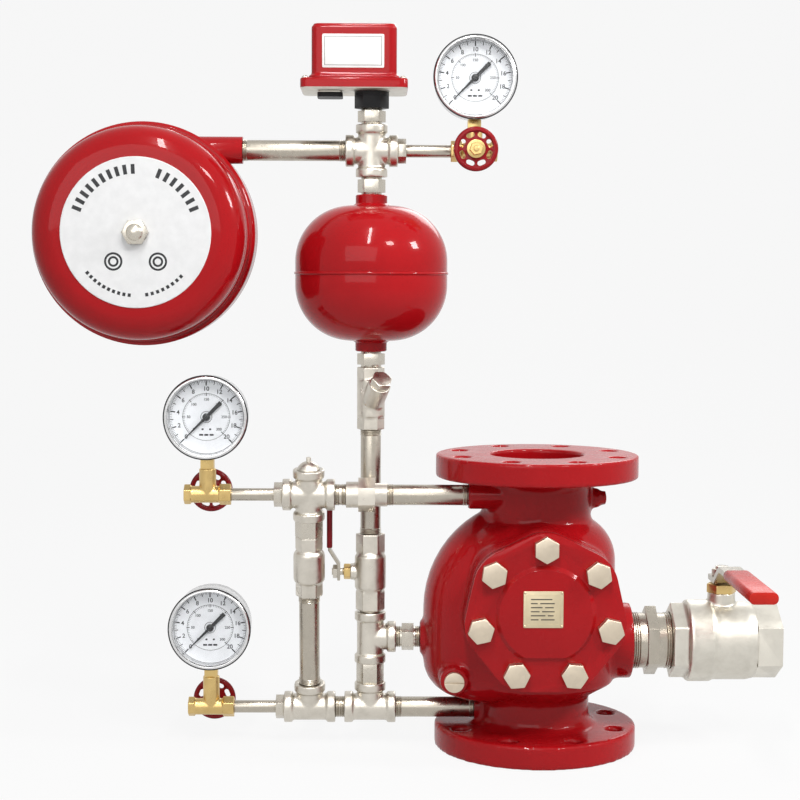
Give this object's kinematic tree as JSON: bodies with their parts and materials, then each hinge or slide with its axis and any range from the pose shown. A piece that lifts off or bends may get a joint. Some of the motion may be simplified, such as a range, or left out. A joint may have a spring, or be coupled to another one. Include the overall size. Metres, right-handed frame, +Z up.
{
  "type": "sprinkler alarm valve",
  "caption": "Flanged wet sprinkler alarm valve with a bolted access cover, drain ball valve, bypass, retard chamber, water motor gong, pressure switch and gauges on needle valves.",
  "frame": {"origin": "centre of the inlet flange face, on the valve axis", "axes": "+Z up, the way the water runs through the valve; the access cover faces -Y; the drain leaves to +X and the trim stands to -X"},
  "size_m": [0.808, 0.317, 0.7765],
  "materials": {
    "red_paint": "glossy fire red enamel over cast iron and steel",
    "red_aluminium": "glossy fire red enamel over cast aluminium and sheet",
    "zinc_pipe": "bright galvanised",
    "nickel_fitting": "nickel plated, satin",
    "brass": "plain machined",
    "bronze": "bronze, machined",
    "bolt_zinc": "zinc plated",
    "gasket": "matt",
    "polished_ball": "polished",
    "red_sleeve": "dipped soft sleeve",
    "white_seat": "matt",
    "nylon": "matt moulded",
    "black_collar": "matt moulded",
    "gauge_steel": "satin stainless",
    "dial_white": "matt white enamel",
    "clear_glass": "clear",
    "wheel_red": "dark crimson enamel",
    "pointer_black": "matt black"
  },
  "bodies": {
    "valve": {"valve_body": "red_paint", "seat_ring": "bronze", "hinge_pin": "nickel_fitting", "cover_gasket": "gasket", "access_cover": "red_paint", "cover_bolts": "bolt_zinc", "drain_nipple": "zinc_pipe", "drain_valve_body": "nickel_fitting", "drain_valve_end": "nickel_fitting", "alarm_valve_body": "nickel_fitting", "check_valve_body": "nickel_fitting", "line_union": "nickel_fitting", "dome_plug": "nickel_fitting", "retard_chamber": "red_paint", "ball_seats": "white_seat", "gland_nuts": "brass", "trim_pipes": "zinc_pipe", "gauge_tubes": "zinc_pipe", "hex_nipples": "nickel_fitting", "pipe_fittings": "nickel_fitting", "strainer_body": "nickel_fitting", "strainer_cap": "nickel_fitting", "strainer_screen": "nickel_fitting", "motor_housing": "red_aluminium", "motor_back_cover": "red_aluminium", "gong_stud": "nickel_fitting", "gong_bell": "red_aluminium", "gong_nut": "nickel_fitting", "switch_collar": "black_collar", "switch_base": "nickel_fitting", "switch_cover": "red_aluminium", "gauge_cases": "gauge_steel", "gauge_bezels": "gauge_steel", "gauge_dials": "dial_white", "gauge_glasses": "clear_glass", "gauge_sockets": "brass", "gauge_valve_bodies": "brass"},
    "clapper_set": {"clapper": "bronze", "clapper_seal": "gasket", "clapper_retainer": "nickel_fitting"},
    "drain_handle": {"drain_ball": "polished_ball", "drain_stem": "nickel_fitting", "drain_lever": "zinc_pipe", "drain_grip": "red_sleeve"},
    "alarm_handle": {"alarm_ball": "polished_ball", "alarm_stem": "nickel_fitting", "alarm_lever": "zinc_pipe", "alarm_grip": "red_sleeve"},
    "lift_disc": {"check_disc": "bronze"},
    "gong_rotor": {"impeller": "nylon", "striker": "nickel_fitting"},
    "stem_upper": {"needle_stem_upper": "nickel_fitting"},
    "stem_lower": {"needle_stem_lower": "nickel_fitting"},
    "stem_alarm": {"needle_stem_alarm": "nickel_fitting"},
    "wheel_upper": {"handwheel_upper": "wheel_red"},
    "wheel_lower": {"handwheel_lower": "wheel_red"},
    "wheel_alarm": {"handwheel_alarm": "wheel_red"},
    "hand_upper": {"pointer_upper": "pointer_black"},
    "hand_lower": {"pointer_lower": "pointer_black"},
    "hand_alarm": {"pointer_alarm": "pointer_black"}
  },
  "joints": [
    {"name": "clapper_hinge", "type": "hinge", "parent": "valve", "child": "clapper_set", "pos_m": [-0.092, 0, 0.086], "axis": [0, -1, 0], "range_deg": [0, 60]},
    {"name": "drain_handle_turn", "type": "hinge", "parent": "valve", "child": "drain_handle", "pos_m": [0.204, 0, 0.1145], "axis": [0, 0, 1], "range_deg": [0, 90]},
    {"name": "alarm_handle_turn", "type": "hinge", "parent": "valve", "child": "alarm_handle", "pos_m": [-0.181, 0, 0.19], "axis": [1, 0, 0], "range_deg": [0, 90]},
    {"name": "check_lift", "type": "slide", "parent": "valve", "child": "lift_disc", "axis": [0, -0.133, 0.9911], "range_m": [0, 0.005]},
    {"name": "gong_spin", "type": "hinge", "parent": "valve", "child": "gong_rotor", "pos_m": [-0.424, 0, 0.556], "axis": [0, 1, 0], "continuous": true},
    {"name": "needle_upper_travel", "type": "slide", "parent": "valve", "child": "stem_upper", "axis": [0, -1, 0], "range_m": [0, 0.003]},
    {"name": "wheel_upper_turn", "type": "hinge", "parent": "stem_upper", "child": "wheel_upper", "pos_m": [-0.355, -0.032, 0.2785], "axis": [0, -1, 0], "range_deg": [0, 540]},
    {"name": "pointer_upper_turn", "type": "hinge", "parent": "valve", "child": "hand_upper", "pos_m": [-0.355, -0.032, 0.3625], "axis": [0, 1, 0], "range_deg": [0, 270]},
    {"name": "needle_lower_travel", "type": "slide", "parent": "valve", "child": "stem_lower", "axis": [0, -1, 0], "range_m": [0, 0.003]},
    {"name": "wheel_lower_turn", "type": "hinge", "parent": "stem_lower", "child": "wheel_lower", "pos_m": [-0.355, 0, 0.04], "axis": [0, -1, 0], "range_deg": [0, 540]},
    {"name": "pointer_lower_turn", "type": "hinge", "parent": "valve", "child": "hand_lower", "pos_m": [-0.355, 0, 0.13], "axis": [0, 1, 0], "range_deg": [0, 270]},
    {"name": "needle_alarm_travel", "type": "slide", "parent": "valve", "child": "stem_alarm", "axis": [0, 1, 0], "range_m": [0, 0.003]},
    {"name": "wheel_alarm_turn", "type": "hinge", "parent": "stem_alarm", "child": "wheel_alarm", "pos_m": [-0.071, 0, 0.646], "axis": [0, 1, 0], "range_deg": [0, 540]},
    {"name": "pointer_alarm_turn", "type": "hinge", "parent": "valve", "child": "hand_alarm", "pos_m": [-0.071, 0, 0.723], "axis": [0, 1, 0], "range_deg": [0, 270]}
  ],
  "couplings": [
    {"joint": "needle_upper_travel", "follows": "wheel_upper_turn", "m_per_rad": 0.0003183},
    {"joint": "needle_lower_travel", "follows": "wheel_lower_turn", "m_per_rad": 0.0003183},
    {"joint": "needle_alarm_travel", "follows": "wheel_alarm_turn", "m_per_rad": 0.0003183}
  ]
}
